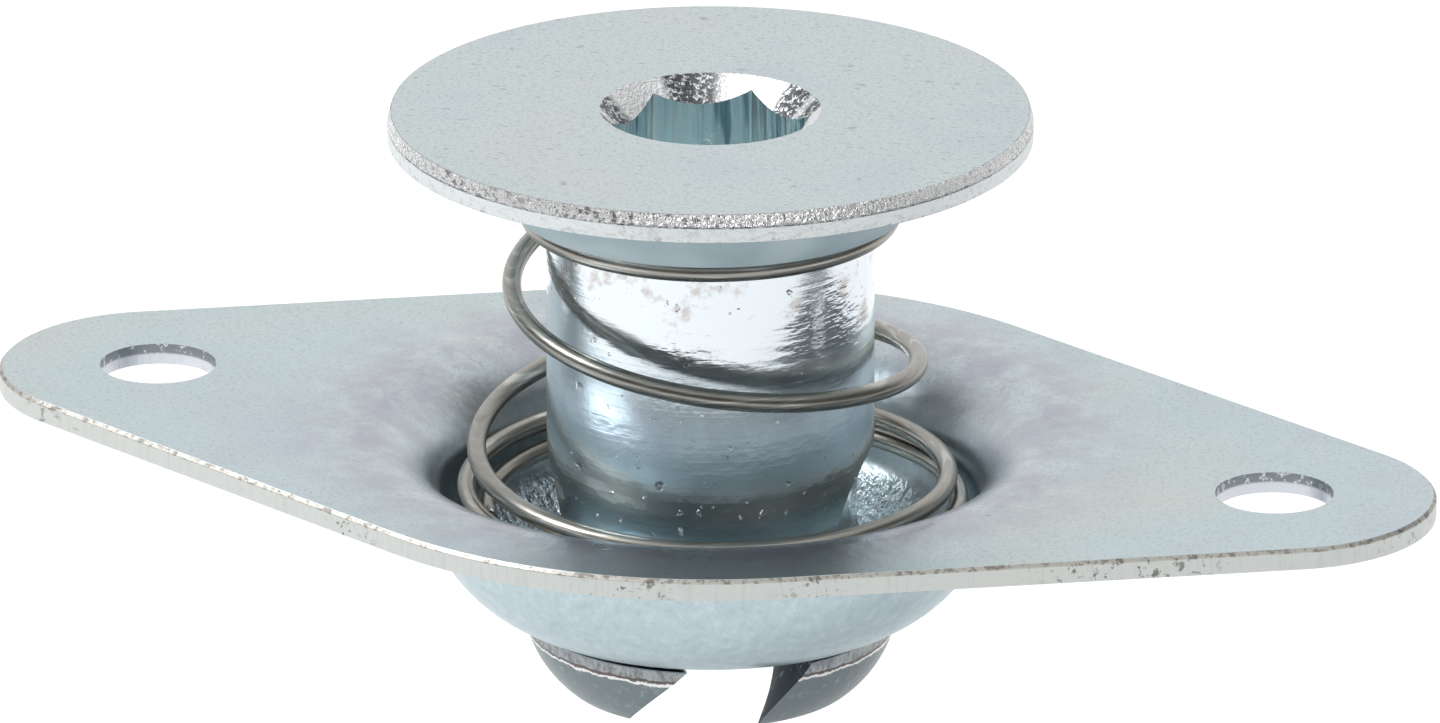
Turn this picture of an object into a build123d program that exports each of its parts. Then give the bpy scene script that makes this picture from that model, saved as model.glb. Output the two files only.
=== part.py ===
from build123d import *
from math import cos, radians, sin, sqrt
import os

# Quarter turn panel fastener: a cam-slotted stud, a conical ejector spring and a two-hole cup flange.
# The origin is the centre of the flange's mounting face. The stud's axis is +Z with its head up,
# and the flange is longest along X. The stud stands at its raised, unlocked end.

# Flange: pressed sheet with a drawn cup
sheet_t = 1.0
hole_spacing = 55.0
hole_d = 5.5
tip_r = 7.5
plate_rim_w = 3.5
cup_depth = 8.0
cup_lip_w = 0.9
cup_corner_r = 5.5
mouth_bend_r = 4.5
edge_break = 0.15

# Stud barrel and cam nose
barrel_d = 15.3
barrel_length = 20.2
neck_fillet_r = 0.5
nose_lip_w = 1.0
nose_land_h = 0.6
nose_cone_h = 2.85
nose_cone_w = 1.9
nose_bulge = 0.28
nose_tip_fillet_r = 0.4

# Stud head: thin disc with a bevelled edge over a cone that seats the spring
seat_ledge_w = 1.65
cone_flare_w = 3.2
cone_h = 3.2
head_overhang_w = 2.5
head_rim_h = 0.8
head_bevel_h = 0.54
head_bevel_w = 0.15
head_edge_r = 0.06
socket_af = 8.0
socket_depth = 6.5
socket_bevel_w = 1.15
socket_drill_angle = 118.0
socket_turn = 24.0

# Cam slot: a diametral slot that twists up from the tip, ever flatter, into a round cross rest
slot_w = 6.0
slot_rise = 9.4
slot_entry_turn = 101.0
entry_lead = 70.0
end_lead = 36.0
slot_sections = 7
rest_r = 4.3
rest_rise = 7.8
quarter_turn = 90.0

# Spring: left-hand conical coil of round wire
wire_d = 0.9
closed_turns_top = 0.45
open_turns = 1.9
closed_turns_bottom = 1.7
flare_start = 0.7
spring_flare = 1.85
lean_w = 0.25
dip_h = 0.38
lean_turn = 198.0
base_drop = 0.4
base_pitch = 1.1
base_touch_turn = 3.5
base_spread = 0.65
end_tuck = 2.0
spring_start_turn = -171.0
pitch_ease = 0.18
arcs_per_turn = 8

# Clearances
bore_clearance = 0.25
stop_clearance = 0.05
coil_clearance = 0.25
spring_clearance = 0.08
cut_margin = 1.0

# Worked out levels and radii
plate_top = sheet_t
barrel_r = barrel_d / 2
bore_r = barrel_r + bore_clearance
corner_r = bore_r - cup_lip_w
corner_z = plate_top - cup_depth + cup_corner_r
corner_outer_r = cup_corner_r + sheet_t
bend_under_r = mouth_bend_r - sheet_t
bend_z = plate_top - mouth_bend_r
mouth_r = corner_r + sqrt((cup_corner_r + mouth_bend_r) ** 2 - (corner_z - bend_z) ** 2)
centre_r = mouth_r + plate_rim_w
bore_rim_z = corner_z - sqrt(corner_outer_r**2 - cup_lip_w**2)
shoulder_z = bore_rim_z - stop_clearance
nose_edge_z = shoulder_z - nose_land_h
nose_tip_z = nose_edge_z - nose_cone_h
seat_z = shoulder_z + barrel_length
rim_under_z = seat_z + cone_h
head_top_z = rim_under_z + head_rim_h + head_bevel_h
nose_r = barrel_r + nose_lip_w
cone_seat_r = barrel_r + seat_ledge_w
cone_top_r = cone_seat_r + cone_flare_w
head_r = cone_top_r + head_overhang_w

# Flange blank: central disc and two small tips joined by straight tangents
with BuildPart() as flange:
    with BuildSketch(Plane.XY) as blank:
        Circle(centre_r)
        with GridLocations(hole_spacing, 0, 2, 1):
            Circle(tip_r)
        make_hull()
    extrude(amount=sheet_t)
    chamfer(flange.edges().group_by(Axis.Z)[-1], edge_break)

    # The blank is opened over the cup before the drawn wall is added
    with BuildSketch(Plane.XY.offset(plate_top)):
        Circle(mouth_r)
    extrude(amount=-sheet_t, mode=Mode.SUBTRACT)

    # Drawn wall: two tangent bends of constant thickness, turned about the stud's axis
    lean = (mouth_r - corner_r) / (cup_corner_r + mouth_bend_r)
    drop = (bend_z - corner_z) / (cup_corner_r + mouth_bend_r)
    inner_tangent = (corner_r + cup_corner_r * lean, corner_z + cup_corner_r * drop)
    outer_tangent = (corner_r + corner_outer_r * lean, corner_z + corner_outer_r * drop)
    inner_bore_z = corner_z - sqrt(cup_corner_r**2 - cup_lip_w**2)
    with BuildSketch(Plane.XZ) as wall:
        with BuildLine():
            top_bend = RadiusArc((mouth_r, plate_top), inner_tangent, -mouth_bend_r)
            floor_bend = RadiusArc(inner_tangent, (bore_r, inner_bore_z), cup_corner_r)
            bore_edge = Line((bore_r, inner_bore_z), (bore_r, bore_rim_z))
            floor_under = RadiusArc((bore_r, bore_rim_z), outer_tangent, -corner_outer_r)
            bend_under = RadiusArc(outer_tangent, (mouth_r, 0), bend_under_r)
            mouth_edge = Line((mouth_r, 0), (mouth_r, plate_top))
        make_face()
    revolve(axis=Axis.Z)

    with BuildSketch(Plane.XY) as holes:
        with GridLocations(hole_spacing, 0, 2, 1):
            Circle(hole_d / 2)
    extrude(amount=sheet_t, mode=Mode.SUBTRACT)
flange.part.label = "flange"

# Cam slot cutter: a flat bar through sections that turn faster towards the top
slot_cut_length = 2 * (nose_r + cut_margin)


def slot_turn(height):
    """Angle of the slot about Z at a height above the nose's tip."""
    rate = 360 / entry_lead
    gain = (360 / end_lead - rate) / slot_rise
    return slot_entry_turn + rate * height + gain * height * height / 2


with BuildPart() as slot_cutter:
    for step in range(slot_sections + 1):
        height = step / slot_sections * (slot_rise + cut_margin) - cut_margin
        with BuildSketch(Plane.XY.offset(nose_tip_z + height)):
            Rectangle(slot_cut_length, slot_w, rotation=slot_turn(height))
    loft()

# Stud: one turned and headed piece, its whole profile revolved about Z
with BuildPart() as stud:
    with BuildSketch(Plane.XZ) as profile:
        with BuildLine():
            Polyline(
                (0, head_top_z),
                (head_r - head_bevel_w, head_top_z),
                (head_r, head_top_z - head_bevel_h),
                (head_r, rim_under_z),
                (cone_top_r, rim_under_z),
                (cone_seat_r, seat_z),
                (barrel_r, seat_z),
                (barrel_r, shoulder_z),
                (nose_r, shoulder_z),
                (nose_r, nose_edge_z),
            )
            SagittaArc((nose_r, nose_edge_z), (nose_r - nose_cone_w, nose_tip_z), nose_bulge)
            Polyline((nose_r - nose_cone_w, nose_tip_z), (0, nose_tip_z), (0, head_top_z))
        make_face()
    revolve(axis=Axis.Z)

    # Soft edges: head rim, barrel top and nose tip
    rings = stud.edges().filter_by(GeomType.CIRCLE).group_by(SortBy.RADIUS)
    fillet(rings[-1] + rings[-2], head_edge_r)
    fillet(stud.edges().filter_by(GeomType.CIRCLE).group_by(Axis.Z)[0], nose_tip_fillet_r)
    barrel = stud.faces().filter_by(GeomType.CYLINDER).sort_by(SortBy.AREA)[-1]
    fillet(barrel.edges().filter_by(GeomType.CIRCLE).sort_by(Axis.Z)[-1], neck_fillet_r)

    # Hexagon socket with its drilled bottom and bevelled mouth
    with BuildSketch(Plane.XY.offset(head_top_z)) as socket:
        RegularPolygon(socket_af / 2, 6, major_radius=False, rotation=socket_turn)
    extrude(amount=-socket_depth, mode=Mode.SUBTRACT)
    drill_r = socket_af / 2
    drill_drop = drill_r / sin(radians(socket_drill_angle / 2)) * cos(radians(socket_drill_angle / 2))
    with Locations((0, 0, head_top_z - socket_depth - drill_drop / 2)):
        Cone(0.0, drill_r, drill_drop, mode=Mode.SUBTRACT)
    with Locations((0, 0, head_top_z - socket_bevel_w / 2)):
        Cone(drill_r, drill_r + socket_bevel_w, socket_bevel_w, mode=Mode.SUBTRACT)

    # Cam slot, with the round cross rest a quarter turn on from its entry
    add(slot_cutter.part, mode=Mode.SUBTRACT)
    rest_turn = radians(slot_entry_turn + quarter_turn)
    rest_axis = (cos(rest_turn), sin(rest_turn), 0)
    with BuildSketch(Plane(origin=(0, 0, nose_tip_z + rest_rise), z_dir=rest_axis)):
        Circle(rest_r)
    extrude(amount=slot_cut_length / 2, both=True, mode=Mode.SUBTRACT)
stud.part.label = "stud"

# Spring: closed turns under the head, open turns, then flat turns that lie on the cup's wall
wire_r = wire_d / 2
coil_top_r = barrel_r + coil_clearance + wire_r
coil_top_z = seat_z - wire_r - spring_clearance
nest_r = cup_corner_r - wire_r - spring_clearance
total_turns = closed_turns_top + open_turns + closed_turns_bottom
base_start_z = corner_z + base_drop
coil_end_z = base_start_z - closed_turns_bottom * base_pitch


def ramp(share):
    """Steady rise from 0 to 1 that starts and stops smoothly."""
    if share < pitch_ease:
        return share**2 / (2 * pitch_ease * (1 - pitch_ease))
    if share > 1 - pitch_ease:
        return 1 - ramp(1 - share)
    return (share - pitch_ease / 2) / (1 - pitch_ease)


def spring_point(turn):
    """Centre of the wire after so many turns from the top end."""
    share = (turn - closed_turns_top) / open_turns
    if share < 1:
        z = coil_top_z + (base_start_z - coil_top_z) * ramp(max(0.0, share))
    else:
        z = base_start_z - base_pitch * (turn - closed_turns_top - open_turns)
    wall_r = corner_r + sqrt(nest_r**2 - min(0.0, z - corner_z) ** 2)
    off_wall = base_spread * max(0.0, base_touch_turn - turn) + end_tuck * max(0.0, turn - base_touch_turn)
    r = min(wall_r - off_wall, coil_top_r + spring_flare * max(0.0, turn - flare_start))
    angle = radians(spring_start_turn + 360 * turn)
    # The free turns lean a little to one side and dip a quarter turn on from there
    bell = 4 * share * (1 - share) if 0 < share < 1 else 0.0
    lean_angle = radians(lean_turn)
    z -= dip_h * bell * sin(angle - lean_angle)
    x = r * cos(angle) + lean_w * bell * cos(lean_angle)
    y = r * sin(angle) + lean_w * bell * sin(lean_angle)
    return Vector(x, y, z)


with BuildPart() as spring:
    # The wire's path is a chain of tangent arcs through points on the coil
    arcs = round(total_turns * arcs_per_turn)
    with BuildLine() as coil:
        heading = spring_point(0.001) - spring_point(0)
        for step in range(arcs):
            start = spring_point(total_turns * step / arcs)
            end = spring_point(total_turns * (step + 1) / arcs)
            heading = TangentArc(start, end, tangent=heading) % 1
    with BuildSketch(Plane(origin=coil.line @ 0, z_dir=coil.line % 0)):
        Circle(wire_r)
    sweep()
spring.part.label = "spring"

os.makedirs("parts", exist_ok=True)
export_step(flange.part, "parts/flange.step")
export_step(stud.part, "parts/stud.step")
export_step(spring.part, "parts/spring.step")
print("mouth radius", round(mouth_r, 2), "shoulder", round(shoulder_z, 2), "tip", round(nose_tip_z, 2))
print("rim underside", round(rim_under_z, 2), "head top", round(head_top_z, 2), "coil end", round(coil_end_z, 2))
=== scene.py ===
"""Looks of a quarter turn panel fastener: zinc plated flange and stud, and a drawn wire spring."""

from __future__ import annotations

import logging
import math
from dataclasses import dataclass, field
from enum import Enum

import bmesh
import bpy
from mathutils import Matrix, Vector

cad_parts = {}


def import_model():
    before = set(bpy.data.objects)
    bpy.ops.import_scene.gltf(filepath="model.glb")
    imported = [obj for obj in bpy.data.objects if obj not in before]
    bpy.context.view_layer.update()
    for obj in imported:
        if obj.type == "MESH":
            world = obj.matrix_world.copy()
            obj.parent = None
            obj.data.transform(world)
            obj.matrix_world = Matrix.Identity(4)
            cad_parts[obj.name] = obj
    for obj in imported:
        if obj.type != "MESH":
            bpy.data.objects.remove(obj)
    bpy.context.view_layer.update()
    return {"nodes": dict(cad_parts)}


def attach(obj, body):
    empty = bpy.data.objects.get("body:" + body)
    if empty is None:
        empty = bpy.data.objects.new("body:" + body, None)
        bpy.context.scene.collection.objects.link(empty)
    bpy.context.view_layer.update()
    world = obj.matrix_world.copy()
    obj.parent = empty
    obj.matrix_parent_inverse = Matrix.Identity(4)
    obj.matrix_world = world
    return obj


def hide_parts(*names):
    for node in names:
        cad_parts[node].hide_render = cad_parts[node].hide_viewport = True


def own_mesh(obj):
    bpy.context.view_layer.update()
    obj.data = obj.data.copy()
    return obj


log = logging.getLogger("fastener")

MM = 0.001
RGBA = tuple[float, float, float, float]
Socket = bpy.types.NodeSocket
Value = Socket | float
Paint = Socket | RGBA
Sockets = dict[str, Socket]
GroupInputs = dict[str, float | RGBA | None]
PIT_SHARPNESS = 9.0


class Zone(Enum):
    """The parts of the stud that reflect differently."""

    HEAD = "head"
    BARREL = "barrel"
    NOSE = "nose"


def tone(red: float, green: float, blue: float) -> RGBA:
    """Opaque linear colour."""
    return (red, green, blue, 1.0)


# Shader building


class Graph:
    """A node tree that nodes and links are added to in a few words."""

    def __init__(self, tree: bpy.types.NodeTree) -> None:
        """Keeps the tree.

        Args:
            tree: The node tree of a material, a world or a node group.
        """
        self.tree = tree

    def node(self, kind: str, **settings: str | bool | bpy.types.NodeTree) -> bpy.types.Node:
        """Adds a node.

        Args:
            kind: Blender's type name of the node.
            settings: Properties to set on it.

        Returns:
            The new node.
        """
        made = self.tree.nodes.new(kind)
        for name, value in settings.items():
            setattr(made, name, value)
        return made

    def link(self, source: Socket, target: Socket) -> None:
        """Joins two sockets."""
        self.tree.links.new(source, target)

    def math(self, operation: str, *values: Value, clamp: bool = False) -> Socket:
        """Adds a Math node.

        Args:
            operation: Name of the operation.
            values: Sockets or numbers for its inputs.
            clamp: Whether the result is held between 0 and 1.

        Returns:
            The result's socket.
        """
        made = self.node("ShaderNodeMath", operation=operation, use_clamp=clamp)
        for socket, value in zip(made.inputs, values):
            self.feed(socket, value)
        return made.outputs[0]

    def times(self, first: Value, second: Value) -> Socket:
        """Multiplies two values."""
        return self.math("MULTIPLY", first, second)

    def ramp(self, value: Socket, low: float, high: float) -> Socket:
        """Maps a value smoothly to the range from 0 to 1.

        Args:
            value: Socket of the value.
            low: Where the result is 0.
            high: Where the result is 1.

        Returns:
            The result's socket.
        """
        made = self.node("ShaderNodeMapRange", interpolation_type="SMOOTHSTEP")
        self.link(value, made.inputs["Value"])
        made.inputs["From Min"].default_value = low
        made.inputs["From Max"].default_value = high
        return made.outputs["Result"]

    def mix(self, factor: Value, first: Paint, second: Paint) -> Socket:
        """Mixes two colours.

        Args:
            factor: Socket or number.
            first: Socket or colour at factor 0.
            second: Socket or colour at factor 1.

        Returns:
            The mixed colour's socket.
        """
        made = self.node("ShaderNodeMix", data_type="RGBA")
        self.feed(made.inputs[0], factor)
        self.feed(made.inputs[6], first)
        self.feed(made.inputs[7], second)
        return made.outputs[2]

    def noise(self, where: Socket, scale: Value, detail: float = 2.0, rough: float = 0.5) -> Socket:
        """Adds a noise texture.

        Args:
            where: Socket of the coordinates.
            scale: Cells per metre.
            detail: Octaves.
            rough: Strength of each octave against the one before.

        Returns:
            Socket of the value.
        """
        made = self.node("ShaderNodeTexNoise")
        self.link(where, made.inputs["Vector"])
        self.feed(made.inputs["Scale"], scale)
        made.inputs["Detail"].default_value = detail
        made.inputs["Roughness"].default_value = rough
        return made.outputs["Fac"]

    def stretched(self, where: Socket, scale: tuple[float, float, float]) -> Socket:
        """Scales coordinates by a different amount along each axis.

        Args:
            where: Socket of the coordinates.
            scale: Factor for each axis.

        Returns:
            Socket of the scaled coordinates.
        """
        made = self.node("ShaderNodeMapping")
        self.link(where, made.inputs["Vector"])
        made.inputs["Scale"].default_value = scale
        return made.outputs[0]

    def feed(self, socket: Socket, value: Value | Paint) -> None:
        """Links an input to a socket, or gives it a plain value.

        Args:
            socket: The input.
            value: Socket, number or colour.
        """
        if isinstance(value, Socket):
            self.link(value, socket)
        else:
            socket.default_value = value


def new_group(name: str, inputs: GroupInputs, outputs: dict[str, str]) -> tuple[Graph, Sockets, Sockets]:
    """Makes an empty shader node group with named sockets.

    Args:
        name: The group's name.
        inputs: Default value by name, a number or a colour, and None for a vector.
        outputs: Socket type by name.

    Returns:
        The group's graph, its input sockets and its output sockets by name.
    """
    tree = bpy.data.node_groups.new(name, "ShaderNodeTree")
    for label, value in inputs.items():
        if value is None:
            tree.interface.new_socket(label, in_out="INPUT", socket_type="NodeSocketVector")
            continue
        kind = "NodeSocketFloat" if isinstance(value, float) else "NodeSocketColor"
        socket = tree.interface.new_socket(label, in_out="INPUT", socket_type=kind)
        socket.default_value = value
    for label, kind in outputs.items():
        tree.interface.new_socket(label, in_out="OUTPUT", socket_type=kind)
    graph = Graph(tree)
    entry = graph.node("NodeGroupInput")
    leave = graph.node("NodeGroupOutput")
    return graph, {s.name: s for s in entry.outputs}, {s.name: s for s in leave.inputs}


@dataclass
class SharedEffects:
    """Node groups that several finishes use, each built once."""

    groups: dict[str, bpy.types.NodeTree] = field(default_factory=dict)

    def build(self) -> None:
        """Makes every group."""
        self.groups["plating"] = self._plating()
        self.groups["pits"] = self._pits()
        self.groups["peel"] = self._peel()

    def place(self, graph: Graph, name: str, **values: Value | Paint) -> bpy.types.Node:
        """Puts a group into a material.

        Args:
            graph: The material's graph.
            name: The group's name.
            values: Sockets or values for its inputs, with _ for a space.

        Returns:
            The group node.
        """
        made = graph.node("ShaderNodeGroup", node_tree=self.groups[name])
        for label, value in values.items():
            graph.feed(made.inputs[label.replace("_", " ")], value)
        return made

    def _plating(self) -> bpy.types.NodeTree:
        """Clouds of faint tints in bright zinc, with fine speckle.

        Returns:
            The group's node tree.
        """
        graph, into, out = new_group(
            "plating",
            {
                "Vector": None,
                "Base": tone(0.66, 0.72, 0.73),
                "Warm": tone(0.70, 0.70, 0.66),
                "Cool": tone(0.62, 0.66, 0.74),
                "Cloud Scale": 120.0,
                "Tint": 0.5,
                "Speckle": 0.1,
            },
            {"Colour": "NodeSocketColor", "Rough Shift": "NodeSocketFloat"},
        )
        cloud = graph.noise(into["Vector"], into["Cloud Scale"], detail=3.0)
        warm = graph.ramp(cloud, 0.5, 0.72)
        cool = graph.ramp(cloud, 0.5, 0.3)
        tinted = graph.mix(graph.times(warm, into["Tint"]), into["Base"], into["Warm"])
        tinted = graph.mix(graph.times(cool, into["Tint"]), tinted, into["Cool"])
        grain = graph.noise(into["Vector"], 5200.0, detail=3.0, rough=0.7)
        dark = graph.times(graph.ramp(grain, 0.49, 0.37), into["Speckle"])
        graph.link(graph.mix(dark, tinted, tone(0.25, 0.27, 0.28)), out["Colour"])
        smear = graph.noise(into["Vector"], 420.0, detail=4.0)
        graph.link(graph.math("SUBTRACT", smear, 0.5), out["Rough Shift"])
        return graph.tree

    def _pits(self) -> bpy.types.NodeTree:
        """Scattered small pits and nicks of uneven size.

        Returns:
            The group's node tree.
        """
        graph, into, out = new_group(
            "pits",
            {
                "Vector": None,
                "Scale": 900.0,
                "Size": 0.2,
                "Amount": 0.3,
            },
            {"Mask": "NodeSocketFloat"},
        )
        wobble = graph.noise(into["Vector"], 2500.0)
        moved = graph.node("ShaderNodeVectorMath", operation="MULTIPLY_ADD")
        graph.link(wobble.node.outputs["Color"], moved.inputs[0])
        moved.inputs[1].default_value = (0.0005, 0.0005, 0.0005)
        graph.link(into["Vector"], moved.inputs[2])
        cells = graph.node("ShaderNodeTexVoronoi", feature="F1")
        graph.link(moved.outputs[0], cells.inputs["Vector"])
        graph.link(into["Scale"], cells.inputs["Scale"])
        pick = graph.node("ShaderNodeSeparateColor")
        graph.link(cells.outputs["Color"], pick.inputs[0])
        chosen = graph.math("LESS_THAN", pick.outputs[0], into["Amount"])
        radius = graph.times(into["Size"], pick.outputs[1])
        inside = graph.math("SUBTRACT", radius, cells.outputs["Distance"])
        sharp = graph.math("MULTIPLY", inside, PIT_SHARPNESS, clamp=True)
        graph.link(graph.times(sharp, chosen), out["Mask"])
        return graph.tree

    def _peel(self) -> bpy.types.NodeTree:
        """Height of a rolled and plated skin: long waves with a fine grain on them.

        Returns:
            The group's node tree.
        """
        graph, into, out = new_group(
            "peel",
            {
                "Vector": None,
                "Wave Scale": 350.0,
                "Grain Scale": 2600.0,
                "Grain": 0.3,
            },
            {"Height": "NodeSocketFloat"},
        )
        wave = graph.noise(into["Vector"], into["Wave Scale"], detail=1.5)
        grain = graph.noise(into["Vector"], into["Grain Scale"], detail=2.0, rough=0.6)
        fine = graph.times(grain, into["Grain"])
        graph.link(graph.math("ADD", wave, fine), out["Height"])
        return graph.tree


# Finishes


@dataclass(frozen=True)
class MetalFinish:
    """A metal surface before its marks are added."""

    name: str
    base: RGBA
    warm: RGBA
    cool: RGBA
    roughness: float
    cloud_scale: float = 120.0
    tint: float = 0.5
    speckle: float = 0.12
    rough_spread: float = 0.12


@dataclass(frozen=True)
class SheetTones:
    """Colours of the marks on the pressed sheet, and of the light and shade painted on it."""

    # Painted light: the inside of the cup is lighter than the rest of the sheet.
    cup_floor_painted_light: RGBA = tone(0.70, 0.78, 0.82)
    pit: RGBA = tone(0.22, 0.24, 0.25)
    drawn_cloud: RGBA = tone(0.38, 0.375, 0.44)
    # Painted shade below the plate.
    underside_painted_shade: RGBA = tone(0.47, 0.58, 0.63)
    underside_pale: RGBA = tone(0.74, 0.80, 0.83)
    underside_shade: RGBA = tone(0.30, 0.38, 0.42)
    cut_edge: RGBA = tone(0.62, 0.63, 0.605)
    edge_line: RGBA = tone(0.40, 0.39, 0.36)
    lip: RGBA = tone(0.50, 0.49, 0.45)
    broken_lip: RGBA = tone(0.20, 0.18, 0.16)
    gouge: RGBA = tone(0.14, 0.13, 0.12)
    hole_wall: RGBA = tone(0.72, 0.74, 0.82)
    hole_upper: RGBA = tone(0.17, 0.20, 0.22)
    hole_chip: RGBA = tone(0.75, 0.77, 0.78)


@dataclass(frozen=True)
class TurnedTones:
    """Colours of the marks on the turned stud, and of the light and shade painted on it."""

    pit: RGBA = tone(0.25, 0.24, 0.23)
    fleck: RGBA = tone(0.24, 0.26, 0.26)
    bright_fleck: RGBA = tone(0.84, 0.87, 0.87)
    scratch: RGBA = tone(0.30, 0.28, 0.26)
    # Painted light: a bright teal on the cone under the head.
    cone_painted_light: RGBA = tone(0.86, 0.97, 1.0)
    cone_shade: RGBA = tone(0.50, 0.64, 0.70)
    head_underside: RGBA = tone(0.70, 0.76, 0.78)
    barrel: RGBA = tone(0.80, 0.86, 0.90)
    barrel_violet: RGBA = tone(0.86, 0.86, 0.93)
    stain: RGBA = tone(0.43, 0.35, 0.31)
    pock: RGBA = tone(0.30, 0.27, 0.26)
    # Painted reflection on the lower barrel.
    low_barrel_painted_reflection: RGBA = tone(0.77, 0.885, 0.935)
    # Painted highlight on the beads.
    bead_highlight: RGBA = tone(1.0, 1.0, 1.0)
    # Painted shade on the nose.
    nose: RGBA = tone(0.17, 0.205, 0.22)
    nose_light: RGBA = tone(0.50, 0.56, 0.58)
    land: RGBA = tone(0.44, 0.47, 0.48)
    land_rib: RGBA = tone(0.16, 0.17, 0.18)
    # Painted highlight along the nose's shoulder edge.
    nose_edge: RGBA = tone(0.88, 0.88, 0.86)
    # Painted shade on the ledge's top.
    seam: RGBA = tone(0.17, 0.12, 0.10)
    # Painted shade on the slot flanks.
    slot_flank_shade: RGBA = tone(0.05, 0.075, 0.10)
    flank_glint: RGBA = tone(0.45, 0.50, 0.55)
    rim_side: RGBA = tone(0.74, 0.77, 0.78)
    rim_grit: RGBA = tone(0.40, 0.42, 0.43)
    # Painted highlight on the head's bevel.
    bevel: RGBA = tone(1.0, 1.0, 1.0)
    bevel_nick: RGBA = tone(0.16, 0.15, 0.14)
    rim_wear: RGBA = tone(0.30, 0.29, 0.28)
    # Painted light on the socket walls, with painted highlights and painted shade along their facets.
    socket_wall_painted_light: RGBA = tone(0.80, 0.96, 1.0)
    wall_painted_highlight: RGBA = tone(0.95, 1.0, 1.0)
    wall_painted_shade: RGBA = tone(0.20, 0.34, 0.38)
    countersink: RGBA = tone(0.96, 0.97, 0.98)
    sink_band: RGBA = tone(0.05, 0.06, 0.07)


@dataclass(frozen=True)
class WireTones:
    """Colours of the marks on the wire."""

    dark_line: RGBA = tone(0.22, 0.20, 0.18)
    bright_line: RGBA = tone(0.78, 0.77, 0.72)


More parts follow.
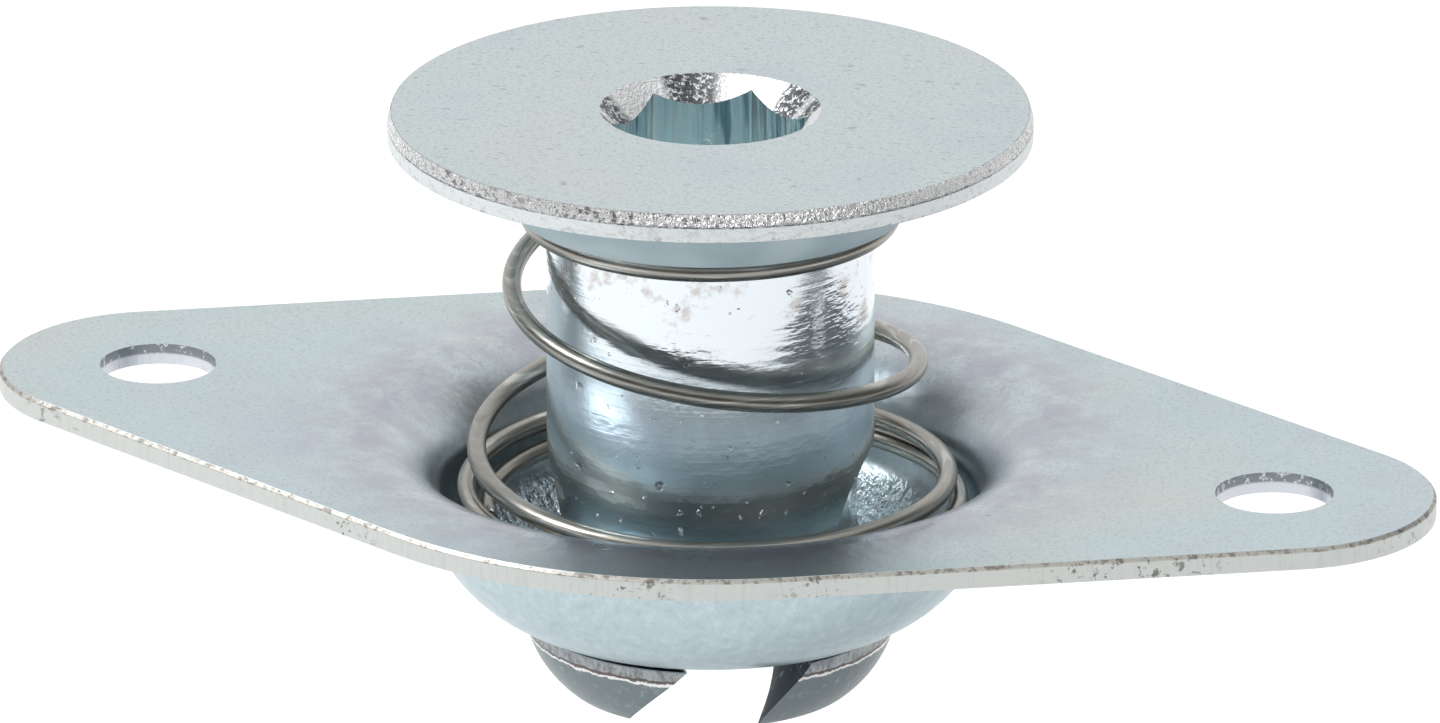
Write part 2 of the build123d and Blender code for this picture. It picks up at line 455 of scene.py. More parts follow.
@dataclass
class Surface:
    """One material under construction."""

    finish: MetalFinish
    effects: SharedEffects
    material: bpy.types.Material = field(init=False)
    graph: Graph = field(init=False)
    level: Socket = field(init=False)
    radius: Socket = field(init=False)
    up: Socket = field(init=False)

    def __post_init__(self) -> None:
        """Starts the material with its shader and its plating."""
        self.material = bpy.data.materials.new(self.finish.name)
        self.material.use_nodes = True
        self.graph = Graph(self.material.node_tree)
        self.shader = self.material.node_tree.nodes["Principled BSDF"]
        self.shader.inputs["Metallic"].default_value = 1.0
        coordinates = self.graph.node("ShaderNodeTexCoord")
        self.where = coordinates.outputs["Object"]
        self.facing = coordinates.outputs["Normal"]
        plating = self.effects.place(
            self.graph,
            "plating",
            Vector=self.where,
            Base=self.finish.base,
            Warm=self.finish.warm,
            Cool=self.finish.cool,
            Cloud_Scale=self.finish.cloud_scale,
            Tint=self.finish.tint,
            Speckle=self.finish.speckle,
        )
        self.colour = plating.outputs["Colour"]
        shift = self.graph.times(plating.outputs["Rough Shift"], self.finish.rough_spread)
        self.rough = self.graph.math("ADD", shift, self.finish.roughness)
        self.normal: Socket | None = None

    def split(self, vector: Socket) -> tuple[Socket, ...]:
        """Takes a vector apart.

        Args:
            vector: Socket of the vector.

        Returns:
            Sockets of its X, Y and Z.
        """
        made = self.graph.node("ShaderNodeSeparateXYZ")
        self.graph.link(vector, made.inputs[0])
        return tuple(made.outputs)

    def measure(self) -> None:
        """Adds the height, the distance from the stud's axis and the normal's upward part."""
        _, _, self.up = self.split(self.facing)
        _, _, self.level = self.split(self.where)
        x, y, _ = self.split(self.where)
        square = self.graph.math("ADD", self.graph.times(x, x), self.graph.times(y, y))
        self.radius = self.graph.math("SQRT", square)

    def spokes(self, reach: float, lift: float) -> Socket:
        """Coordinates that run round the axis only, so that marks on them point at it.

        Args:
            reach: Radius in metres at which the marks keep their size.
            lift: Share of the height that is kept.

        Returns:
            Socket of the coordinates.
        """
        flat = self.graph.stretched(self.where, (1.0, 1.0, 0.0))
        unit = self.graph.node("ShaderNodeVectorMath", operation="NORMALIZE")
        self.graph.link(flat, unit.inputs[0])
        placed = self.graph.node("ShaderNodeVectorMath", operation="MULTIPLY_ADD")
        self.graph.link(unit.outputs[0], placed.inputs[0])
        placed.inputs[1].default_value = (reach, reach, reach)
        self.graph.link(self.graph.stretched(self.where, (0.0, 0.0, lift)), placed.inputs[2])
        return placed.outputs[0]

    def noise(self, scale: float, detail: float = 2.0, rough: float = 0.5) -> Socket:
        """Even noise with the given cells per metre."""
        return self.graph.noise(self.where, scale, detail, rough)

    def streaks(self, scale: tuple[float, float, float], detail: float, rough: float = 0.5) -> Socket:
        """Noise with its own cells per metre along each axis."""
        return self.graph.noise(self.graph.stretched(self.where, scale), 1.0, detail, rough)

    def effect(self, name: str, where: Socket | None = None, **values: float) -> Socket:
        """Places a shared effect at the surface's own coordinates, or at others."""
        spot = self.where if where is None else where
        return self.effects.place(self.graph, name, Vector=spot, **values).outputs[0]

    def between(self, value: Socket, low: float, high: float, soft: float) -> Socket:
        """A mask that is 1 between two levels of a value.

        Args:
            value: Socket of the value.
            low: Where the mask starts.
            high: Where it stops.
            soft: Width of its soft sides.

        Returns:
            The mask's socket.
        """
        rise = self.graph.ramp(value, low - soft, low + soft)
        fall = self.graph.ramp(value, high + soft, high - soft)
        return self.graph.times(rise, fall)

    def recolour(self, mask: Socket, colour: RGBA, share: float = 1.0) -> None:
        """Lays a colour over the surface where the mask is.

        Args:
            mask: Socket of the mask.
            colour: The colour.
            share: How much of it shows.
        """
        cover = mask if share == 1.0 else self.graph.times(mask, share)
        self.colour = self.graph.mix(cover, self.colour, colour)

    def reroughen(self, mask: Socket, roughness: float, share: float = 1.0) -> None:
        """Changes the roughness where the mask is.

        Args:
            mask: Socket of the mask.
            roughness: The roughness there.
            share: How much of the change is made.
        """
        cover = mask if share == 1.0 else self.graph.times(mask, share)
        made = self.graph.node("ShaderNodeMix", data_type="FLOAT")
        self.graph.link(cover, made.inputs[0])
        self.graph.link(self.rough, made.inputs[2])
        made.inputs[3].default_value = roughness
        self.rough = made.outputs[0]

    def bump(self, height: Socket, depth: float) -> None:
        """Adds relief.

        Args:
            height: Socket of the height, from 0 to about 1.
            depth: Depth of the relief in metres.
        """
        made = self.graph.node("ShaderNodeBump")
        made.inputs["Distance"].default_value = depth
        self.graph.link(height, made.inputs["Height"])
        if self.normal is not None:
            self.graph.link(self.normal, made.inputs["Normal"])
        self.normal = made.outputs["Normal"]

    def close(self) -> bpy.types.Material:
        """Joins what was built to the shader.

        Returns:
            The finished material.
        """
        self.graph.link(self.colour, self.shader.inputs["Base Color"])
        self.graph.link(self.rough, self.shader.inputs["Roughness"])
        if self.normal is not None:
            self.graph.link(self.normal, self.shader.inputs["Normal"])
        return self.material


ZINC_SHEET = MetalFinish(
    name="zinc_sheet",
    base=tone(0.525, 0.615, 0.635),
    warm=tone(0.59, 0.62, 0.58),
    cool=tone(0.48, 0.54, 0.61),
    roughness=0.34,
    cloud_scale=70.0,
    speckle=0.30,
)
ZINC_TURNED = MetalFinish(
    name="zinc_turned",
    base=tone(0.58, 0.65, 0.66),
    warm=tone(0.62, 0.64, 0.61),
    cool=tone(0.50, 0.57, 0.62),
    roughness=0.30,
    cloud_scale=110.0,
    tint=0.4,
    speckle=0.32,
)
DRAWN_WIRE = MetalFinish(
    name="drawn_wire",
    base=tone(0.345, 0.335, 0.305),
    warm=tone(0.39, 0.36, 0.31),
    cool=tone(0.30, 0.31, 0.305),
    roughness=0.30,
    cloud_scale=300.0,
    speckle=0.2,
)


# Sub-assemblies


@dataclass
class Flange:
    """Pressed sheet flange with a drawn cup."""

    effects: SharedEffects
    tones: SheetTones = SheetTones()
    sheet: float = 1.0 * MM
    mouth_radius: float = 16.8 * MM
    hole_spacing: float = 55.0 * MM
    hole_radius: float = 2.75 * MM
    drawn_inner: float = 13.0 * MM
    drawn_outer: float = 18.6 * MM
    drawn_fade: float = 3.4 * MM
    drawn_low: float = -4.0 * MM
    drawn_high: float = -1.5 * MM
    deep_high: float = -4.0 * MM
    deep_low: float = -6.0 * MM

    def dress(self, node: bpy.types.Object) -> None:
        """Gives the CAD node its material.

        Args:
            node: The flange's object from the frame.
        """
        surface = Surface(ZINC_SHEET, self.effects)
        graph = surface.graph
        surface.measure()
        level, radius, up = surface.level, surface.radius, surface.up
        upright = graph.ramp(graph.math("ABSOLUTE", up), 0.9, 0.5)
        outside = graph.math("GREATER_THAN", radius, self.mouth_radius + self.sheet)
        cut_edge = graph.times(upright, outside)
        self._mottle_drawn_zone(surface)
        rolled = graph.times(graph.ramp(graph.math("ABSOLUTE", up), 0.97, 0.9), outside)
        self._dress_cut_edge(surface, cut_edge, rolled)
        self._dress_hole_walls(surface, cut_edge)
        # Painted light: the inside of the cup takes a lighter copy of the sheet's colour, against the shade
        # in the cup.
        deep = graph.ramp(level, self.deep_high, self.deep_low)
        inside_cup = graph.times(deep, graph.ramp(up, 0.0, 0.4))
        surface.recolour(inside_cup, self.tones.cup_floor_painted_light, 0.8)
        surface.reroughen(inside_cup, 0.24)
        marks = surface.effect("pits", Scale=620.0, Size=0.16, Amount=0.10)
        surface.recolour(marks, self.tones.pit, 0.5)
        peel = surface.effect("peel", Wave_Scale=260.0, Grain_Scale=2100.0, Grain=0.22)
        surface.bump(peel, 0.020 * MM)
        surface.bump(graph.math("SUBTRACT", 1.0, marks), 0.02 * MM)
        grains = surface.noise(2500.0, detail=2.0)
        surface.bump(graph.times(grains, inside_cup), 0.50 * MM)
        node.data.materials.clear()
        node.data.materials.append(surface.close())
        log.info("flange dressed")

    def _mottle_drawn_zone(self, surface: Surface) -> None:
        """Clouds the sheet where it was drawn into the cup, and paints shade below the plate as a darker,
        cooler colour.

        Args:
            surface: The material under construction.
        """
        graph = surface.graph
        level, radius, up = surface.level, surface.radius, surface.up
        ring = surface.between(radius, self.drawn_inner, self.drawn_outer, self.drawn_fade)
        drawn = graph.times(ring, graph.ramp(level, self.drawn_low, self.drawn_high))
        drawn = graph.times(drawn, graph.ramp(up, 0.0, 0.3))
        cloud = surface.noise(420.0, detail=4.0, rough=0.65)
        patch = graph.times(drawn, graph.ramp(cloud, 0.25, 0.65))
        surface.recolour(patch, self.tones.drawn_cloud, 0.85)
        # Painted shade: all of the sheet below the plate is made darker and cooler.
        under = graph.ramp(level, -0.5 * MM, -1.5 * MM)
        surface.recolour(under, self.tones.underside_painted_shade, 0.6)
        satin = surface.noise(1700.0, detail=3.0, rough=0.6)
        pale = graph.times(under, graph.ramp(satin, 0.52, 0.66))
        surface.recolour(pale, self.tones.underside_pale, 0.22)
        shade = graph.times(under, graph.ramp(satin, 0.48, 0.34))
        surface.recolour(shade, self.tones.underside_shade, 0.22)
        surface.reroughen(drawn, 0.22, 0.6)
        leather = surface.noise(900.0, detail=3.0, rough=0.6)
        surface.bump(graph.times(leather, drawn), 0.05 * MM)

    def _dress_cut_edge(self, surface: Surface, cut_edge: Socket, rolled: Socket) -> None:
        """Gives the blanked edge its warm, nicked look.

        Args:
            surface: The material under construction.
            cut_edge: Mask of the edge.
            rolled: Mask of the edge with its broken corners.
        """
        graph = surface.graph
        level = surface.level
        surface.recolour(cut_edge, self.tones.cut_edge, 0.8)
        brushed = surface.streaks((3600.0, 3600.0, 260.0), detail=3.0, rough=0.65)
        fine = graph.times(graph.ramp(brushed, 0.5, 0.3), cut_edge)
        surface.recolour(fine, self.tones.edge_line, 0.20)
        torn = surface.noise(2300.0, detail=4.0, rough=0.7)
        lip = graph.times(surface.between(level, 0.80 * self.sheet, 0.985 * self.sheet, 0.02 * MM), rolled)
        surface.recolour(lip, self.tones.lip, 0.85)
        broken = graph.times(lip, graph.ramp(torn, 0.51, 0.42))
        surface.recolour(broken, self.tones.broken_lip, 0.75)
        surface.reroughen(lip, 0.55)
        patchy = surface.noise(110.0, detail=1.0)
        gouge = graph.times(graph.ramp(torn, 0.44, 0.38), graph.ramp(patchy, 0.48, 0.60))
        gouge = graph.times(gouge, cut_edge)
        surface.recolour(gouge, self.tones.gouge, 0.85)
        surface.reroughen(cut_edge, 0.38)
        surface.bump(graph.times(brushed, cut_edge), 0.03 * MM)

    def _dress_hole_walls(self, surface: Surface, cut_edge: Socket) -> None:
        """Gives the fixing holes a dark, chipped upper wall over a pale sheared one.

        Args:
            surface: The material under construction.
            cut_edge: Mask of the cut edges.
        """
        graph = surface.graph
        level = surface.level
        x, y, _ = surface.split(surface.where)
        along = graph.math("SUBTRACT", graph.math("ABSOLUTE", x), self.hole_spacing / 2)
        square = graph.math("ADD", graph.times(along, along), graph.times(y, y))
        near = graph.math("LESS_THAN", graph.math("SQRT", square), self.hole_radius + 0.2 * MM)
        walls = graph.times(near, cut_edge)
        surface.recolour(walls, self.tones.hole_wall, 0.7)
        upper = graph.times(walls, graph.ramp(level, 0.45 * self.sheet, 0.60 * self.sheet))
        surface.recolour(upper, self.tones.hole_upper, 0.85)
        burr = surface.noise(2600.0, detail=3.0, rough=0.7)
        chips = graph.times(upper, graph.ramp(burr, 0.54, 0.62))
        surface.recolour(chips, self.tones.hole_chip, 0.8)


@dataclass
class Stud:
    """Headed stud with a cam nose."""

    effects: SharedEffects
    tones: TurnedTones = TurnedTones()
    head_top: float = 16.75 * MM
    rim_underside: float = 15.41 * MM
    seat: float = 12.21 * MM
    shoulder: float = -7.99 * MM
    nose_edge: float = -8.59 * MM
    head_radius: float = 15.0 * MM
    barrel_radius: float = 7.65 * MM
    socket_mouth_radius: float = 5.15 * MM
    ripple_low: float = 5.5 * MM
    ripple_high: float = 7.5 * MM
    bead_low: float = -1.5 * MM
    bead_high: float = 0.0
    bead_fade: float = 0.3 * MM

    def dress(self, node: bpy.types.Object) -> None:
        """Gives the CAD node its material.

        Args:
            node: The stud's object from the frame.
        """
        surface = Surface(ZINC_TURNED, self.effects)
        graph = surface.graph
        surface.measure()
        zones = self._zones(surface)
        flat_top = graph.times(graph.ramp(surface.up, 0.9, 0.99), zones[Zone.HEAD])
        surface.reroughen(flat_top, 0.42)
        self._dress_top(surface, flat_top)
        self._dress_cone(surface)
        self._dress_barrel(surface, zones[Zone.BARREL])
        self._dress_nose(surface, zones[Zone.NOSE])
        self._dress_rim(surface)
        self._dress_socket(surface)
        pits = surface.effect("pits", Scale=700.0, Size=0.26, Amount=0.22)
        surface.recolour(pits, self.tones.pit, 0.45)
        peel = surface.effect("peel", Wave_Scale=420.0, Grain_Scale=2600.0, Grain=0.25)
        surface.bump(peel, 0.018 * MM)
        surface.bump(graph.math("SUBTRACT", 1.0, pits), 0.03 * MM)
        node.data.materials.clear()
        node.data.materials.append(surface.close())
        log.info("stud dressed")

    def _dress_top(self, surface: Surface, flat_top: Socket) -> None:
        """Gives the head's flat its short dark flecks and small scratches.

        Args:
            surface: The material under construction.
            flat_top: Mask of the flat.
        """
        graph = surface.graph
        flecks = surface.streaks((1500.0, 3400.0, 1.0), detail=3.0, rough=0.6)
        fleck_mask = graph.times(graph.ramp(flecks, 0.39, 0.30), flat_top)
        surface.recolour(fleck_mask, self.tones.fleck, 0.55)
        bright = graph.times(graph.ramp(flecks, 0.66, 0.76), flat_top)
        surface.recolour(bright, self.tones.bright_fleck, 0.5)
        drawn_out = graph.stretched(surface.where, (0.22, 1.4, 1.0))
        lines = surface.effect("pits", drawn_out, Scale=620.0, Size=0.2, Amount=0.12)
        scratch = graph.times(lines, flat_top)
        surface.recolour(scratch, self.tones.scratch, 0.5)

    def _dress_cone(self, surface: Surface) -> None:
        """Gives the cone under the head a bright teal colour that is painted light, with darker patches and a
        blurred roughness, and the faces under the head's rim their own colour.

        Args:
            surface: The material under construction.
        """
        graph = surface.graph
        level, radius, up = surface.level, surface.radius, surface.up
        cone_painted_light = surface.between(level, self.seat, self.rim_underside, 0.03 * MM)
        cone_painted_light = graph.times(cone_painted_light, graph.math("GREATER_THAN", radius, self.barrel_radius + 0.5 * MM))
        # Painted light: the cone is much lighter and bluer than the rest of the zinc, standing in for the
        # light it reflects; darker patches lie on it at random.
        surface.recolour(cone_painted_light, self.tones.cone_painted_light)
        patch = surface.noise(160.0, detail=1.0)
        shade = graph.times(cone_painted_light, graph.ramp(patch, 0.6, 0.4))
        surface.recolour(shade, self.tones.cone_shade, 0.4)
        surface.reroughen(cone_painted_light, 0.74)
        facing_down = graph.ramp(up, -0.9, -0.98)
        under = graph.times(facing_down, graph.math("GREATER_THAN", level, self.seat + 1.0 * MM))
        surface.recolour(under, self.tones.head_underside, 0.7)

    def _dress_barrel(self, surface: Surface, barrel: Socket) -> None:
        """Gives the barrel its bright plating, turning lines, ripple, stained pits, a painted reflection
        below the ripple zone and a band of beads painted white as a highlight.

        Args:
            surface: The material under construction.
            barrel: Mask of the barrel.
        """
        graph = surface.graph
        level = surface.level
        surface.recolour(barrel, self.tones.barrel, 0.9)
        haze = surface.noise(90.0, detail=1.0)
        violet = graph.times(barrel, graph.ramp(haze, 0.45, 0.7))
        surface.recolour(violet, self.tones.barrel_violet, 0.6)
        surface.reroughen(barrel, 0.13)
        high = graph.ramp(level, self.ripple_low, self.ripple_high)
        stain = surface.noise(360.0, detail=4.0, rough=0.7)
        brown = graph.times(graph.ramp(stain, 0.55, 0.66), graph.times(high, barrel))
        surface.recolour(brown, self.tones.stain, 0.6)
        pocks = surface.effect("pits", Scale=2600.0, Size=0.40, Amount=0.26)
        pocks_mask = graph.times(pocks, barrel)
        pocks_mask = graph.times(pocks_mask, graph.ramp(stain, 0.46, 0.54))
        surface.recolour(pocks_mask, self.tones.pock, 0.45)
        turned = surface.streaks((60.0, 60.0, 4200.0), detail=3.0)
        surface.bump(graph.times(turned, barrel), 0.008 * MM)
        ripple = surface.streaks((1300.0, 1300.0, 3800.0), detail=2.0)
        zone = surface.noise(120.0, detail=1.0)
        rippled = graph.times(graph.ramp(zone, 0.40, 0.58), graph.times(high, barrel))
        surface.bump(graph.times(ripple, rippled), 0.034 * MM)
        low = graph.times(graph.math("SUBTRACT", 1.0, high), barrel)
        mottle = surface.noise(950.0, detail=3.0, rough=0.6)
        surface.bump(graph.times(mottle, low), 0.024 * MM)
        # Painted reflection: below the ripple zone the barrel takes a lighter, bluer colour for the plate and
        # cup it mirrors.
        surface.recolour(low, self.tones.low_barrel_painted_reflection, 0.9)
        surface.reroughen(low, 0.24, 0.85)
        beads = surface.effect("pits", Scale=2300.0, Size=0.50, Amount=0.22)
        wet = surface.between(level, self.bead_low, self.bead_high, self.bead_fade)
        bead_mask = graph.times(beads, graph.times(wet, barrel))
        # Painted highlight: the raised beads are real, and their white colour is a painted highlight.
        surface.recolour(bead_mask, self.tones.bead_highlight)
        surface.bump(bead_mask, 0.16 * MM)
        surface.bump(graph.math("SUBTRACT", 1.0, pocks_mask), 0.015 * MM)

    def _dress_nose(self, surface: Surface, nose: Socket) -> None:
        """Gives the nose its rough land, a dark colour that is painted shade, a painted highlight on its edge
        with a line of painted shade above it, and slot flanks painted near black as shade.

        Args:
            surface: The material under construction.
            nose: Mask of the nose.
        """
        graph = surface.graph
        level, radius, up = surface.level, surface.radius, surface.up
        # Painted shade: the nose is much darker than the rest of the zinc, for the shaded floor it mirrors.
        surface.recolour(nose, self.tones.nose, 0.94)
        grain = surface.noise(1500.0, detail=3.0, rough=0.7)
        light = graph.times(graph.ramp(grain, 0.55, 0.75), nose)
        surface.recolour(light, self.tones.nose_light, 0.35)
        surface.reroughen(nose, 0.34)
        land = graph.times(graph.ramp(level, self.nose_edge - 0.02 * MM, self.nose_edge + 0.06 * MM), nose)
        ribs = graph.noise(surface.spokes(9.0 * MM, 0.6), 3600.0, detail=4.0, rough=0.75)
        ribbed = graph.times(land, graph.ramp(ribs, 0.60, 0.36))
        surface.recolour(land, self.tones.land, 0.8)
        surface.recolour(ribbed, self.tones.land_rib, 0.75)
        wander = graph.times(graph.math("SUBTRACT", grain, 0.5), 0.5 * MM)
        edge_level = graph.math("ADD", level, wander)
        # Painted highlight: a bright line along the shoulder's rounded edge.
        wide = graph.times(nose, graph.math("GREATER_THAN", radius, self.barrel_radius + 0.5 * MM))
        edge = surface.between(edge_level, self.nose_edge - 0.20 * MM, self.nose_edge - 0.07 * MM, 0.03 * MM)
        surface.recolour(graph.times(edge, wide), self.tones.nose_edge, 0.9)
        # Painted shade: a thin dark line just above the edge, where the ledge's top lies in shade.
        seam = surface.between(edge_level, self.nose_edge - 0.05 * MM, self.nose_edge + 0.07 * MM, 0.02 * MM)
        surface.recolour(graph.times(seam, wide), self.tones.seam, 0.8)
        out_x, out_y, _ = surface.split(surface.where)
        face_x, face_y, _ = surface.split(surface.facing)
        outward = graph.math("ADD", graph.times(out_x, face_x), graph.times(out_y, face_y))
        outward = graph.math("DIVIDE", outward, radius)
        slope = graph.math("SUBTRACT", graph.times(outward, 0.83), graph.times(up, 0.55))
        flank = graph.times(graph.ramp(slope, 0.78, 0.70), graph.ramp(graph.math("ABSOLUTE", up), 0.95, 0.88))
        flank = graph.times(flank, graph.ramp(level, self.shoulder - 0.1 * MM, self.shoulder - 0.2 * MM))
        # Painted shade: the slot flanks are near black, and their light specks are painted glints.
        surface.recolour(flank, self.tones.slot_flank_shade, 0.95)
        surface.reroughen(flank, 0.7)
        graph.link(graph.math("SUBTRACT", 1.0, graph.times(flank, 0.8)), surface.shader.inputs["Metallic"])
        glints = graph.times(flank, graph.ramp(grain, 0.60, 0.68))
        surface.recolour(glints, self.tones.flank_glint, 0.7)
        surface.bump(graph.times(ribs, land), 0.10 * MM)
        surface.bump(graph.times(grain, nose), 0.03 * MM)

    def _dress_rim(self, surface: Surface) -> None:
        """Gives the head's edge a bright side and a bevel painted white as a highlight, with dark nicks.

        Args:
            surface: The material under construction.
        """
        graph = surface.graph
        level, radius, up = surface.level, surface.radius, surface.up
        rim = graph.math("GREATER_THAN", radius, self.head_radius - 0.35 * MM)
        side = graph.times(rim, graph.ramp(up, 0.97, 0.8))
        side = graph.times(side, graph.math("GREATER_THAN", level, self.seat))
        surface.recolour(side, self.tones.rim_side, 0.85)
        surface.reroughen(side, 0.40)
        grit = surface.noise(3000.0, detail=3.0, rough=0.7)
        gritty = graph.times(side, graph.ramp(grit, 0.46, 0.36))
        surface.recolour(gritty, self.tones.rim_grit, 0.35)
        hits = surface.noise(2400.0, detail=4.0, rough=0.7)
        chips = surface.noise(3400.0, detail=2.0, rough=0.6)
        crowd = surface.noise(90.0, detail=1.0)
        dense = graph.ramp(crowd, 0.38, 0.58)
        # Painted highlight: the bevel band is white, with real dark nicks in it.
        bevel = surface.between(level, self.head_top - 0.60 * MM, self.head_top + 0.10 * MM, 0.05 * MM)
        nicked = graph.times(bevel, side)
        surface.recolour(nicked, self.tones.bevel, 0.9)
        dark = graph.times(graph.ramp(chips, 0.46, 0.36), nicked)
        surface.recolour(graph.times(dark, dense), self.tones.bevel_nick, 0.8)
        foot = graph.times(graph.ramp(level, self.rim_underside + 0.35 * MM, self.rim_underside), side)
        worn = graph.times(graph.ramp(hits, 0.46, 0.38), foot)
        surface.recolour(worn, self.tones.rim_wear, 0.6)
        surface.reroughen(nicked, 0.36)
        surface.bump(graph.times(chips, nicked), 3.2 * MM)
        surface.bump(graph.times(hits, side), 0.05 * MM)

    def _dress_socket(self, surface: Surface) -> None:
        """Gives the socket walls a light blue-green that is painted light, with painted highlights and
        painted shade in streaks along the facets, and its banded countersink.

        Args:
            surface: The material under construction.
        """
        graph = surface.graph
        level, radius, up = surface.level, surface.radius, surface.up
        within = graph.math("LESS_THAN", radius, self.socket_mouth_radius)
        deep = graph.times(within, graph.ramp(level, self.seat - 2.0 * MM, self.seat - 1.8 * MM))
        walls = graph.times(deep, graph.ramp(graph.math("ABSOLUTE", up), 0.35, 0.2))
        # Painted light: the socket walls are much lighter than the rest of the zinc, against the shade in the
        # socket.
        surface.recolour(walls, self.tones.socket_wall_painted_light)
        facets = surface.streaks((1500.0, 1500.0, 110.0), detail=2.0)
        # Painted highlights and painted shade in streaks along the facets.
        facet_highlight = graph.times(walls, graph.ramp(facets, 0.50, 0.58))
        surface.recolour(facet_highlight, self.tones.wall_painted_highlight, 0.9)
        facet_shade = graph.times(walls, graph.ramp(facets, 0.43, 0.35))
        surface.recolour(facet_shade, self.tones.wall_painted_shade, 0.85)
        surface.bump(graph.times(facets, walls), 0.45 * MM)
        sink = graph.times(deep, surface.between(up, 0.4, 0.9, 0.05))
        surface.recolour(sink, self.tones.countersink)
        bands = graph.noise(surface.spokes(5.0 * MM, 0.0), 330.0, detail=2.0)
        specks = surface.noise(4200.0, detail=3.0, rough=0.75)
        banded = graph.times(sink, graph.ramp(bands, 0.47, 0.40))
        dark = graph.times(banded, graph.ramp(specks, 0.62, 0.50))
        surface.recolour(dark, self.tones.sink_band, 0.95)
        surface.bump(graph.times(specks, sink), 0.08 * MM)

    def _zones(self, surface: Surface) -> dict[Zone, Socket]:
        """Masks of the head, the barrel and the nose.

        Args:
            surface: The material under construction.

        Returns:
            A mask for each zone.
        """
        graph, level = surface.graph, surface.level
        head = graph.ramp(level, self.seat - 0.05 * MM, self.seat + 0.05 * MM)
        nose = graph.ramp(level, self.shoulder + 0.02 * MM, self.shoulder - 0.05 * MM)
        near = graph.ramp(surface.radius, self.barrel_radius - 0.4 * MM, self.barrel_radius - 0.2 * MM)
        body = graph.math("SUBTRACT", 1.0, graph.math("ADD", head, nose), clamp=True)
        return {Zone.HEAD: head, Zone.BARREL: graph.times(body, near), Zone.NOSE: nose}


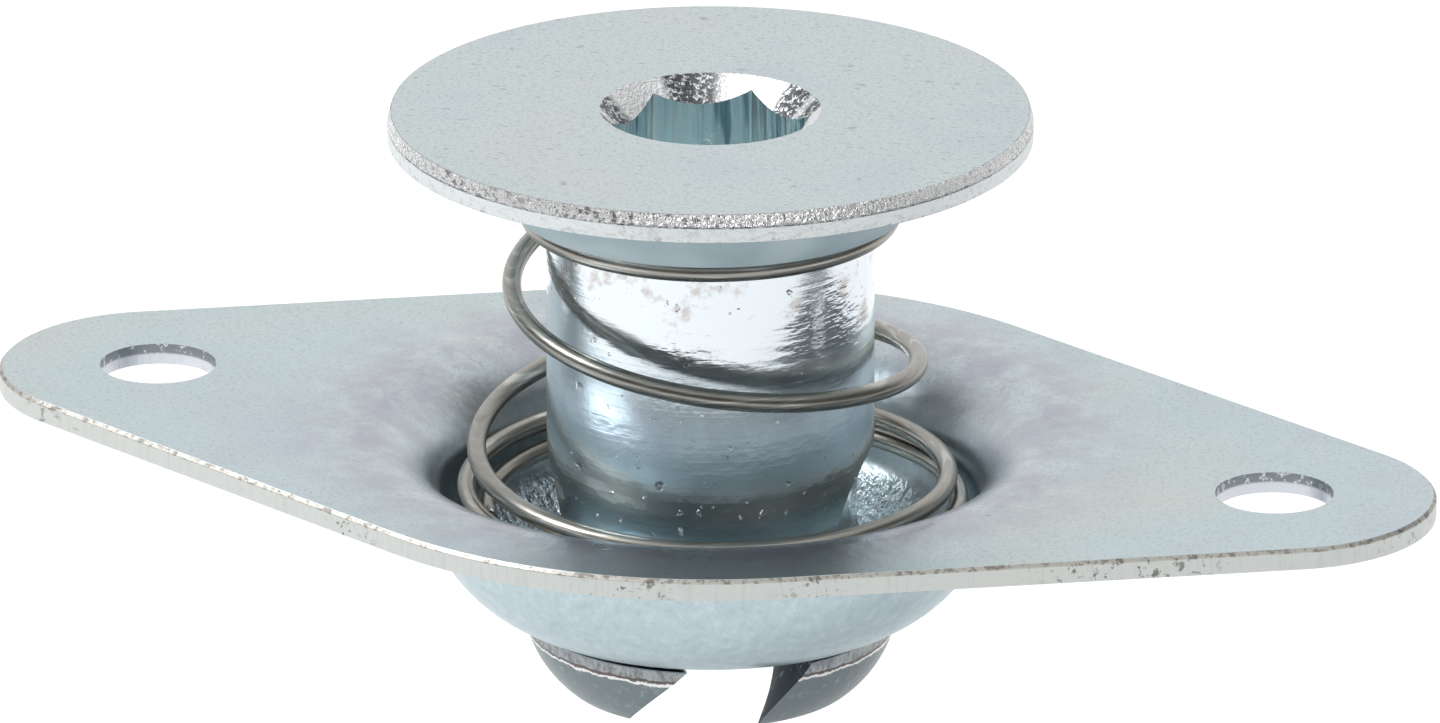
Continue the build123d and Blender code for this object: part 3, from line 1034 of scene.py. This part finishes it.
@dataclass
class Spring:
    """Left-hand conical coil of round wire, the solid's coil with a little more room when it is flattened.

    Lengths are in millimetres and angles in degrees.
    """

    effects: SharedEffects
    tones: WireTones = WireTones()
    wire: float = 0.9
    seat: float = 12.2126
    barrel_radius: float = 7.65
    corner_radius: float = 7.0
    corner_level: float = -1.5
    nest_radius: float = 4.97
    coil_gap: float = 0.33
    clearance: float = 0.08
    closed_top: float = 0.45
    open_turns: float = 1.9
    closed_bottom: float = 1.7
    flare_start: float = 0.7
    flare: float = 1.85
    lean: float = 0.25
    dip: float = 0.38
    lean_turn: float = 198.0
    base_drop: float = 0.4
    base_pitch: float = 1.1
    base_touch: float = 3.5
    base_spread: float = 0.65
    end_tuck: float = 2.0
    squash_room: float = 0.22
    start_turn: float = -171.0
    ease: float = 0.18
    travel: float = 14.73
    end_break: float = 0.86
    rings_per_turn: int = 90
    sides: int = 20

    def _ramp(self, share: float) -> float:
        """Steady rise from 0 to 1 that starts and stops smoothly.

        Args:
            share: Share of the way, from 0 to 1.

        Returns:
            Share of the rise.
        """
        if share < self.ease:
            return share**2 / (2 * self.ease * (1 - self.ease))
        if share > 1 - self.ease:
            return 1 - self._ramp(1 - share)
        return (share - self.ease / 2) / (1 - self.ease)

    def point(self, turn: float) -> Vector:
        """Centre of the wire.

        Args:
            turn: Turns from the top end.

        Returns:
            The point in millimetres.
        """
        top = self.seat - self.wire / 2 - self.clearance
        base = self.corner_level + self.base_drop
        share = (turn - self.closed_top) / self.open_turns
        if share < 1:
            z = top + (base - top) * self._ramp(max(0.0, share))
        else:
            z = base - self.base_pitch * (turn - self.closed_top - self.open_turns)
        wall = self.corner_radius + math.sqrt(self.nest_radius**2 - min(0.0, z - self.corner_level) ** 2)
        wall -= self.squash_room
        off = self.base_spread * max(0.0, self.base_touch - turn)
        off += self.end_tuck * max(0.0, turn - self.base_touch)
        top_radius = self.barrel_radius + self.coil_gap + self.wire / 2
        r = min(wall - off, top_radius + self.flare * max(0.0, turn - self.flare_start))
        angle = math.radians(self.start_turn + 360 * turn)
        bell = 4 * share * (1 - share) if 0 < share < 1 else 0.0
        aside = math.radians(self.lean_turn)
        z -= self.dip * bell * math.sin(angle - aside)
        x = r * math.cos(angle) + self.lean * bell * math.cos(aside)
        y = r * math.sin(angle) + self.lean * bell * math.sin(aside)
        return Vector((x, y, z))

    def build(self) -> bpy.types.Object:
        """Makes the wire as a tube with cut, slightly broken ends.

        Returns:
            The wire's object.
        """
        turns = self.closed_top + self.open_turns + self.closed_bottom
        count = round(turns * self.rings_per_turn)
        line = [self.point(turns * i / count) for i in range(count + 1)]
        mesh = bmesh.new()
        rings = []
        side = Vector((0, 0, 1))
        for i, centre in enumerate(line):
            ahead = (line[min(i + 1, count)] - line[max(i - 1, 0)]).normalized()
            side = (side - ahead * side.dot(ahead)).normalized()
            across = ahead.cross(side)
            shrink = self.end_break if i in (0, count) else 1.0
            ring = []
            for k in range(self.sides):
                turn = 2 * math.pi * k / self.sides
                away = side * math.cos(turn) + across * math.sin(turn)
                ring.append(mesh.verts.new((centre + away * (self.wire / 2 * shrink)) * MM))
            rings.append(ring)
        for first, second in zip(rings, rings[1:]):
            for k in range(self.sides):
                n = (k + 1) % self.sides
                mesh.faces.new((first[k], second[k], second[n], first[n])).smooth = True
        mesh.faces.new(rings[0])
        mesh.faces.new(list(reversed(rings[-1])))
        bmesh.ops.recalc_face_normals(mesh, faces=mesh.faces)
        data = bpy.data.meshes.new("spring_wire")
        mesh.to_mesh(data)
        mesh.free()
        wire = bpy.data.objects.new("spring_wire", data)
        bpy.context.scene.collection.objects.link(wire)
        return wire

    def dress(self, wire: bpy.types.Object) -> None:
        """Gives the wire its drawn, lightly scratched finish.

        Args:
            wire: The wire's object.
        """
        surface = Surface(DRAWN_WIRE, self.effects)
        graph = surface.graph
        scratches = surface.streaks((260.0, 260.0, 6200.0), detail=3.0)
        dark = graph.ramp(scratches, 0.48, 0.34)
        surface.recolour(dark, self.tones.dark_line, 0.45)
        light = graph.ramp(scratches, 0.56, 0.68)
        surface.recolour(light, self.tones.bright_line, 0.5)
        surface.bump(scratches, 0.012 * MM)
        wire.data.materials.append(surface.close())

    def seat_it(self, wire: bpy.types.Object) -> None:
        """Fixes the wire to the spring's body and hides the CAD spring.

        Args:
            wire: The wire's object.
        """
        turns = self.closed_top + self.open_turns + self.closed_bottom
        foot = self.point(turns).z - self.wire / 2
        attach(wire, "spring")
        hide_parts("spring")
        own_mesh(wire)


# Studio


@dataclass
class Studio:
    """Pale floor, white surroundings, one soft lamp and the camera."""

    floor_level: float = -27.0 * MM
    aim_level: float = 1.0 * MM
    turn_deg: float = 18.6
    elevation_deg: float = 19.9
    distance: float = 793.9 * MM
    lens: float = 425.0
    shift_right: float = 0.444 * MM
    shift_up: float = 3.08 * MM
    dim_back: float = -0.75
    dim_side: float = -0.35
    dim_top: float = 0.85
    dim_full: float = 0.55
    dim_level: float = 0.12
    sensor_mm: float = 36.0
    clip: tuple[float, float] = (0.01, 20.0)
    floor_reach: float = 3.0
    floor_paint: float = 0.80
    floor_roughness: float = 0.9
    floor_glow: float = 0.32
    lamp_place: tuple[float, float, float] = (-0.45, -0.20, 0.50)
    lamp_size: float = 0.30
    lamp_watts: float = 2.6

    def camera(self) -> None:
        """Places the camera at the photograph's viewing angle."""
        a, e = math.radians(self.turn_deg), math.radians(self.elevation_deg)
        back = Vector((math.sin(a) * math.cos(e), -math.cos(a) * math.cos(e), math.sin(e)))
        right = Vector((math.cos(a), math.sin(a), 0))
        up = back.cross(right)
        data = bpy.data.cameras.new("camera")
        data.sensor_width = self.sensor_mm
        data.lens = self.lens
        data.clip_start, data.clip_end = self.clip
        made = bpy.data.objects.new("camera", data)
        target = Vector((0, 0, self.aim_level)) + right * self.shift_right + up * self.shift_up
        made.location = target + back * self.distance
        made.rotation_mode = "QUATERNION"
        made.rotation_quaternion = back.to_track_quat("Z", "Y")
        bpy.context.scene.collection.objects.link(made)
        bpy.context.scene.camera = made

    def lamp(self) -> None:
        """Adds a soft square lamp that faces the origin."""
        data = bpy.data.lights.new("key", "AREA")
        data.shape = "RECTANGLE"
        data.size = data.size_y = self.lamp_size
        data.energy = self.lamp_watts
        made = bpy.data.objects.new("key", data)
        made.location = self.lamp_place
        made.rotation_mode = "QUATERNION"
        made.rotation_quaternion = Vector(self.lamp_place).to_track_quat("Z", "Y")
        made.visible_camera = False
        bpy.context.scene.collection.objects.link(made)

    def floor(self) -> None:
        """Lays a flat pale floor that is clear from below."""
        mesh = bmesh.new()
        bmesh.ops.create_grid(mesh, x_segments=8, y_segments=8, size=self.floor_reach)
        data = bpy.data.meshes.new("floor")
        mesh.to_mesh(data)
        mesh.free()
        made = bpy.data.objects.new("floor", data)
        made.location.z = self.floor_level
        bpy.context.scene.collection.objects.link(made)
        material = bpy.data.materials.new("floor_paint")
        material.use_nodes = True
        graph = Graph(material.node_tree)
        shader = material.node_tree.nodes["Principled BSDF"]
        shader.inputs["Base Color"].default_value = tone(self.floor_paint, self.floor_paint, self.floor_paint)
        shader.inputs["Roughness"].default_value = self.floor_roughness
        ray = graph.node("ShaderNodeLightPath")
        seen = graph.math("MAXIMUM", ray.outputs["Is Camera Ray"], ray.outputs["Is Glossy Ray"])
        seen = graph.math("MAXIMUM", seen, ray.outputs["Is Transmission Ray"])
        shader.inputs["Emission Color"].default_value = tone(1.0, 1.0, 1.0)
        graph.link(graph.times(seen, self.floor_glow), shader.inputs["Emission Strength"])
        below = graph.node("ShaderNodeNewGeometry")
        clear = graph.node("ShaderNodeBsdfTransparent")
        choice = graph.node("ShaderNodeMixShader")
        graph.link(below.outputs["Backfacing"], choice.inputs[0])
        graph.link(shader.outputs[0], choice.inputs[1])
        graph.link(clear.outputs[0], choice.inputs[2])
        graph.link(choice.outputs[0], material.node_tree.nodes["Material Output"].inputs["Surface"])
        data.materials.append(material)

    def world(self) -> None:
        """White above and beyond the part, dim at its sides and behind the camera."""
        world = bpy.data.worlds.new("studio")
        bpy.context.scene.world = world
        world.use_nodes = True
        graph = Graph(world.node_tree)
        shader = world.node_tree.nodes["Background"]
        coordinates = graph.node("ShaderNodeTexCoord")
        toward = graph.node("ShaderNodeVectorMath", operation="DOT_PRODUCT")
        graph.link(coordinates.outputs["Generated"], toward.inputs[0])
        a = math.radians(self.turn_deg)
        toward.inputs[1].default_value = (math.sin(a), -math.cos(a), 0.0)
        apart = graph.node("ShaderNodeSeparateXYZ")
        graph.link(coordinates.outputs["Generated"], apart.inputs[0])
        around = graph.ramp(toward.outputs["Value"], self.dim_back, self.dim_side)
        below = graph.ramp(apart.outputs[2], self.dim_top, self.dim_full)
        dim = graph.times(around, below)
        level = graph.math("SUBTRACT", 1.0, graph.times(dim, 1.0 - self.dim_level))
        shader.inputs["Color"].default_value = tone(1.0, 1.0, 1.0)
        graph.link(level, shader.inputs["Strength"])

    def build(self) -> None:
        """Makes the whole studio."""
        self.camera()
        self.floor()
        self.world()
        self.lamp()
        log.info("studio built")


def main() -> None:
    """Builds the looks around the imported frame."""
    logging.basicConfig(level=logging.INFO, format="%(name)s: %(message)s")
    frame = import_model()
    bpy.context.scene.view_settings.view_transform = "Standard"
    effects = SharedEffects()
    effects.build()
    Flange(effects).dress(frame["nodes"]["flange"])
    Stud(effects).dress(frame["nodes"]["stud"])
    spring = Spring(effects)
    wire = spring.build()
    spring.dress(wire)
    spring.seat_it(wire)
    Studio().build()
    log.info("boxes written")


if __name__ == "__main__":
    main()
